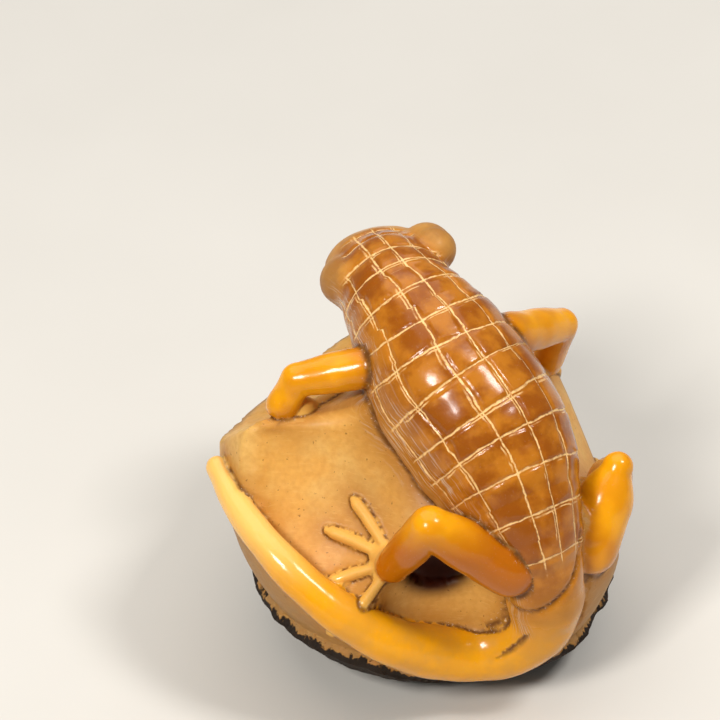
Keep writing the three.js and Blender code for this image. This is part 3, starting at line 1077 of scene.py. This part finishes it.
@dataclass(frozen=True)
class PolishedTagua:
    """Vegetable ivory, rubbed and oiled, with cream scratches, brown recesses, painted shade and bark."""

    ground: Rgb = (0.68, 0.35, 0.075)
    ground_pale: Rgb = (0.7, 0.41, 0.115)
    # Brown of the painted shade beside the trunk and where forms meet, also used for the nut's random grain.
    flank: Rgb = (0.42, 0.17, 0.022)
    back: Rgb = (0.44, 0.15, 0.009)
    back_dark: Rgb = (0.27, 0.07, 0.002)
    honey: Rgb = (0.8, 0.34, 0.003)
    # Deeper honey: the legs' random tone and their painted shade.
    honey_deep_and_shade: Rgb = (0.42, 0.108, 0.0003)
    tail: Rgb = (0.69, 0.305, 0.02)
    toe: Rgb = (0.74, 0.4, 0.08)
    wall: Rgb = (0.36, 0.19, 0.06)
    bark: Rgb = (0.022, 0.014, 0.009)
    line: Rgb = (0.84, 0.54, 0.22)
    recess: Rgb = (0.08, 0.02, 0.002)
    dust: Rgb = (0.62, 0.52, 0.4)
    head: Rgb = (0.36, 0.16, 0.035)
    head_pale: Rgb = (0.5, 0.24, 0.05)
    tail_tip: Rgb = (0.84, 0.48, 0.12)
    # Near black of the painted shadow under the knee.
    hollow: Rgb = (0.045, 0.006, 0.0)
    line_width: float = 0.12
    second_line: float = 0.33
    specular: float = 0.18
    glow: float = 0.12
    glow_reach: Rgb = (1.0, 0.45, 0.15)
    glow_depth: float = 1.2
    coat_rough: float = 0.12
    bump: float = 0.8

    def scored(self, sheet: Sheet, number: Zone, size: Zone, seed: float) -> Socket:
        """Draws a scratched double stroke at each whole number of a stored value.

        Args:
            sheet: The node tree.
            number: The stored row or seam number.
            size: Millimetres of one row or seam.
            seed: Number that sets these strokes apart from others.

        Returns:
            One on a stroke, zero beside it.
        """
        shifted = sheet.noise(0.22, 2, sheet.vector(sheet.read(Zone.ROW), sheet.read(Zone.SEAM), seed))
        wobble = sheet.sum("MULTIPLY_ADD", sheet.noise(0.5, 3), 0.16, -0.08)
        wobble = sheet.plus(wobble, sheet.sum("MULTIPLY_ADD", shifted, 0.2, -0.1))
        place = sheet.plus(sheet.plus(sheet.read(number), wobble), 0.5)
        off = sheet.sum("SUBTRACT", sheet.sum("FRACT", place), 0.5)
        off = sheet.times(off, sheet.read(size))
        width = sheet.sum("MULTIPLY_ADD", sheet.noise(1.1, 3), self.line_width * 1.6, self.line_width * -0.2)
        main = sheet.sum("SUBTRACT", sheet.sum("ABSOLUTE", off), width)
        main = sheet.sum("SUBTRACT", 1.0, sheet.step(main, -0.05, 0.07))
        second = sheet.sum("ABSOLUTE", sheet.sum("SUBTRACT", off, self.second_line))
        second = sheet.sum("SUBTRACT", 1.0, sheet.step(second, 0.04, 0.12))
        present = sheet.step(sheet.noise(0.28, 2, sheet.stretched(1, 1, 1.3)), 0.5, 0.6, 0, 0.75)
        worn = sheet.step(sheet.noise(2.2, 4), 0.3, 0.55, 0.45, 1)
        return sheet.times(sheet.sum("MAXIMUM", main, sheet.times(second, present)), worn)

    def nut_colour(self, sheet: Sheet, grain: Socket) -> Socket:
        """Colours the carved ground and the scraped wall.

        Args:
            sheet: The node tree.
            grain: Fine unevenness.

        Returns:
            The colour of the nut, with painted shade, its rubs and pits.
        """
        colour = sheet.mix(sheet.step(sheet.noise(0.16, 4), 0.42, 0.66), self.ground, self.ground_pale)
        low = sheet.step(sheet.axis(2), 23.0, 19.0)
        skin = sheet.step(sheet.read(Zone.SUNK), 2.8, 1.5)
        high_skin = sheet.times(skin, sheet.sum("SUBTRACT", 1.0, low))
        colour = sheet.mix(high_skin, colour, self.ground_pale)
        colour = sheet.mix(sheet.times(skin, low), colour, self.wall)
        # Painted shade: the ground darkens to brown near where it meets the animal's forms.
        colour = sheet.mix(sheet.step(sheet.read(Zone.SHADE), 0.12, 0.95, 0, 0.75), colour, self.flank)
        # The nut's own grain: a random darker tone in the same brown.
        colour = sheet.mix(sheet.step(grain, 0.3, 0.75, 0, 0.3), colour, self.flank)
        rubbed = sheet.noise(1.0, 4, sheet.stretched(0.5, 0.9, 5.0))
        colour = sheet.mix(sheet.step(rubbed, 0.55, 0.7, 0, 0.28), colour, self.ground_pale)
        pits = sheet.step(sheet.noise(2.6, 2, rough=0.4), 0.7, 0.74, 0, 0.5)
        return sheet.mix(pits, colour, self.recess)

    def animal_colour(self, sheet: Sheet, colour: Socket, body: Socket) -> Socket:
        """Lays the animal's colours over the nut's.

        Args:
            sheet: The node tree.
            colour: The nut's colour.
            body: One on the trunk.

        Returns:
            The colour with head, legs, tail, trunk and toes, and painted shade on the legs.
        """
        face = sheet.mix(sheet.step(sheet.noise(0.3, 4), 0.36, 0.64), self.head, self.head_pale)
        colour = sheet.mix(sheet.read(Zone.HEAD), colour, face)
        honey = sheet.mix(sheet.step(sheet.noise(0.22, 2), 0.35, 0.65, 0.6, 1), self.honey_deep_and_shade, self.honey)
        # Painted shade on the legs near where they meet other forms.
        honey = sheet.mix(sheet.step(sheet.read(Zone.SHADE), 0.3, 0.95, 0, 0.6), honey, self.honey_deep_and_shade)
        # Painted shade: legs low down and towards the left are darkened to the deeper honey.
        low, left = sheet.step(sheet.axis(2), 29.0, 24.0), sheet.step(sheet.axis(0), 12.0, 6.0)
        shade_low_left = sheet.times(sheet.times(low, left), 0.95)
        honey = sheet.mix(shade_low_left, honey, self.honey_deep_and_shade)
        colour = sheet.mix(sheet.step(sheet.read(Zone.LIMB), 0.25, 0.75), colour, honey)
        tail = sheet.mix(sheet.step(sheet.noise(0.3, 4), 0.35, 0.65), self.honey, self.tail)
        tail = sheet.mix(sheet.step(sheet.axis(2), 18.5, 23.0), tail, self.tail_tip)
        colour = sheet.mix(sheet.step(sheet.read(Zone.TAIL), 0.2, 0.8), colour, tail)
        cells = sheet.mix(sheet.step(sheet.noise(0.3, 4), 0.38, 0.62), self.back_dark, self.back)
        colour = sheet.mix(body, colour, cells)
        return sheet.mix(sheet.step(sheet.read(Zone.TOE), 0.2, 0.8, 0, 0.8), colour, self.toe)

    def marked(self, sheet: Sheet, colour: Socket, lines: Socket, barky: Socket) -> Socket:
        """Lays painted shade beside the trunk, scratches, scored lines, dirt, dust, a painted shadow under the
        knee and the bark over the colour.

        Args:
            sheet: The node tree.
            colour: The colour below.
            lines: One on the scored lines.
            barky: One on the bark.

        Returns:
            The finished colour.
        """
        crease = sheet.read(Zone.CREASE)
        across = sheet.times(sheet.read(Zone.SEAM), 16.0)
        along = sheet.times(sheet.read(Zone.ROW), 0.9)
        streak = sheet.noise(1.0, 4, sheet.vector(along, across, 3.0))
        # Painted shade: the trunk's lower sides and the ground beside them turn darker brown, with real dust
        # scratches laid in it.
        aside = sheet.sum("ABSOLUTE", sheet.read(Zone.SEAM))
        aside = sheet.times(sheet.step(aside, 2.1, 2.9), sheet.step(aside, 4.6, 3.6))
        flank = sheet.times(aside, sheet.read(Zone.FLANK))
        scratch = sheet.times(sheet.step(streak, 0.52, 0.64), flank)
        colour = sheet.mix(sheet.times(flank, 0.55), colour, self.flank)
        colour = sheet.mix(sheet.times(scratch, 0.6), colour, self.dust)
        colour = sheet.mix(lines, colour, self.line)
        patchy = sheet.step(sheet.noise(0.7, 3), 0.25, 0.6, 0.3, 0.85)
        colour = sheet.mix(sheet.times(sheet.step(crease, 0.2, 1.0), patchy), colour, self.recess)
        specks = sheet.step(sheet.noise(3.4, 4, rough=0.7), 0.6, 0.68)
        specks = sheet.times(specks, sheet.step(crease, 0.1, 0.5, 0.06, 0.6))
        colour = sheet.mix(specks, colour, self.dust)
        # Painted shadow under the hind-left knee.
        colour = sheet.mix(sheet.step(sheet.read(Zone.HOLLOW), 0.08, 0.5), colour, self.hollow)
        return sheet.mix(barky, colour, self.bark)

    def surface(self, sheet: Sheet, gloss: Socket, lines: Socket, barky: Socket, grain: Socket) -> None:
        """Sets how the surface shines, glows and stands out.

        Args:
            sheet: The node tree.
            gloss: One where the carving is polished.
            lines: One on the scored lines.
            barky: One on the bark.
            grain: Fine unevenness.
        """
        inputs = sheet.shader.inputs
        rough = sheet.sum("MULTIPLY_ADD", gloss, -0.25, 0.47)
        rough = sheet.plus(rough, sheet.times(lines, 0.25))
        rough = sheet.plus(rough, sheet.times(barky, 0.3))
        rough = sheet.plus(rough, sheet.sum("MULTIPLY_ADD", grain, 0.12, -0.06))
        sheet.put(inputs["Roughness"], rough)
        sheet.put(inputs["Coat Weight"], sheet.sum("MULTIPLY_ADD", gloss, 0.3, 0.02))
        inputs["Coat Roughness"].default_value = self.coat_rough
        inputs["Specular IOR Level"].default_value = self.specular
        inputs["Subsurface Weight"].default_value = self.glow
        inputs["Subsurface Radius"].default_value = self.glow_reach
        inputs["Subsurface Scale"].default_value = self.glow_depth * MM
        rugged = sheet.times(barky, sheet.noise(1.7, 6))
        height = sheet.times(lines, -0.06)
        height = sheet.plus(height, sheet.times(grain, 0.012))
        height = sheet.plus(height, sheet.times(sheet.noise(0.9, 3), 0.03))
        height = sheet.plus(height, sheet.times(rugged, 0.4))
        bump = sheet.nodes.new("ShaderNodeBump")
        bump.inputs["Distance"].default_value = MM
        bump.inputs["Strength"].default_value = self.bump
        sheet.put(bump.inputs["Height"], height)
        sheet.put(inputs["Normal"], bump.outputs[0])

    def material(self) -> bpy.types.Material:
        """Builds the finish.

        Returns:
            The material, reading object coordinates and the stored surface values.
        """
        sheet = Sheet("polished_tagua")
        grain = sheet.noise(1.6, 5)
        rows = self.scored(sheet, Zone.ROW, Zone.ROW_SIZE, 2.0)
        seams = self.scored(sheet, Zone.SEAM, Zone.SEAM_SIZE, 7.0)
        lines = sheet.times(sheet.sum("MAXIMUM", rows, seams), sheet.read(Zone.BACK))
        body = sheet.times(sheet.read(Zone.BODY), sheet.step(sheet.read(Zone.ROW), 14.8, 10.5))
        ragged = sheet.sum("MULTIPLY_ADD", sheet.noise(1.9, 5), 2.6, -1.3)
        barky = sheet.step(sheet.plus(sheet.read(Zone.BARK), ragged), -0.25, 0.25)
        colour = self.animal_colour(sheet, self.nut_colour(sheet, grain), body)
        sheet.put(sheet.shader.inputs["Base Color"], self.marked(sheet, colour, lines, barky))
        gloss = sheet.sum("MAXIMUM", sheet.read(Zone.LIMB), sheet.read(Zone.TAIL))
        gloss = sheet.sum("MAXIMUM", gloss, sheet.step(body, 0.2, 0.8))
        self.surface(sheet, gloss, lines, barky, grain)
        return sheet.material


@dataclass
class Studio:
    """Pale floor, soft boxes and the photograph's camera."""

    elevation: float = 40
    azimuth: float = -26
    distance: float = 320
    lens: float = 152
    turn_left: float = 1.2245
    turn_up: float = 1.997
    floor_size: float = 4000
    room_light: float = 0.2
    room_tint: tuple[float, float, float, float] = (0.95, 0.93, 0.9, 1)
    floor_dark: Rgb = (0.56, 0.54, 0.5)
    floor_pale: Rgb = (0.62, 0.6, 0.56)

    def back(self) -> Vector:
        """Direction from the nut's centre to the camera."""
        a, e = math.radians(self.azimuth), math.radians(self.elevation)
        return Vector((math.sin(a) * math.cos(e), -math.cos(a) * math.cos(e), math.sin(e)))

    def camera(self) -> None:
        """Sets up the camera at the photograph's angle."""
        data = bpy.data.cameras.new("view")
        data.lens = self.lens
        data.clip_start, data.clip_end = 0.01, 20
        camera = bpy.data.objects.new("view", data)
        bpy.context.scene.collection.objects.link(camera)
        base = (-self.back()).to_track_quat("-Z", "Y").to_matrix()
        left = Matrix.Rotation(math.radians(self.turn_left), 3, "Y")
        turn = left @ Matrix.Rotation(math.radians(self.turn_up), 3, "X")
        place = (Vector(NUT_CENTRE) + self.back() * self.distance) * MM
        camera.matrix_world = Matrix.Translation(place) @ (base @ turn).to_4x4()
        bpy.context.scene.camera = camera

    def box(
        self, name: str, way: tuple[float, float, float], distance: float, size: tuple[float, float],
        power: float, tint: Rgb,
    ) -> None:
        """Adds a soft box that faces the carving.

        Args:
            name: The light's name.
            way: Direction from the nut to the light.
            distance: How far off it stands, in millimetres.
            size: Its two sides, in millimetres.
            power: Its power in watts.
            tint: Its colour.
        """
        data = bpy.data.lights.new(name, "AREA")
        data.shape = "RECTANGLE"
        data.size, data.size_y = size[0] * MM, size[1] * MM
        data.energy = power
        data.color = tint
        light = bpy.data.objects.new(name, data)
        bpy.context.scene.collection.objects.link(light)
        way = Vector(way).normalized()
        place = (Vector(NUT_CENTRE) + way * distance) * MM
        light.matrix_world = Matrix.Translation(place) @ (-way).to_track_quat("-Z", "Y").to_matrix().to_4x4()

    def lights(self) -> None:
        """Adds two soft windows, a broad sky and a pale room."""
        self.box("left window", (-0.62, -0.35, 0.71), 600, (120, 150), 2.7, (1, 0.97, 0.93))
        self.box("right window", (0.37, -0.33, 0.86), 600, (110, 150), 1.9, (1, 0.98, 0.96))
        self.box("broad sky", (0.1, 0.4, 1), 900, (1100, 1100), 5.6, (1, 0.98, 0.95))
        world = bpy.data.worlds.new("room")
        world.use_nodes = True
        world.node_tree.nodes["Background"].inputs["Color"].default_value = self.room_tint
        world.node_tree.nodes["Background"].inputs["Strength"].default_value = self.room_light
        bpy.context.scene.world = world
        bpy.context.scene.view_settings.view_transform = "Standard"

    def floor(self) -> None:
        """Adds the plain pale floor, staged."""
        bpy.ops.object.select_all(action="DESELECT")
        bpy.ops.mesh.primitive_plane_add(size=self.floor_size * MM, location=(0, 0, 0))
        floor = bpy.context.active_object
        floor.name = "floor"
        sheet = Sheet("pale_floor")
        soft = sheet.mix(sheet.noise(0.02, 3), self.floor_dark, self.floor_pale)
        sheet.put(sheet.shader.inputs["Base Color"], soft)
        sheet.shader.inputs["Roughness"].default_value = 0.9
        floor.data.materials.append(sheet.material)


def main() -> None:
    """Builds the carving and its studio."""
    logging.basicConfig(level=logging.INFO, format="%(message)s")
    studio = Studio()
    studio.camera()
    studio.lights()
    studio.floor()
    piece = Carving().build()
    piece.data.materials.clear()
    piece.data.materials.append(PolishedTagua().material())
    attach(piece, "root")
    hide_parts(CARVING_NODE)
    LOG.info("%s: %d faces", piece.name, len(piece.data.polygons))
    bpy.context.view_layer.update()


if __name__ == "__main__":
    main()
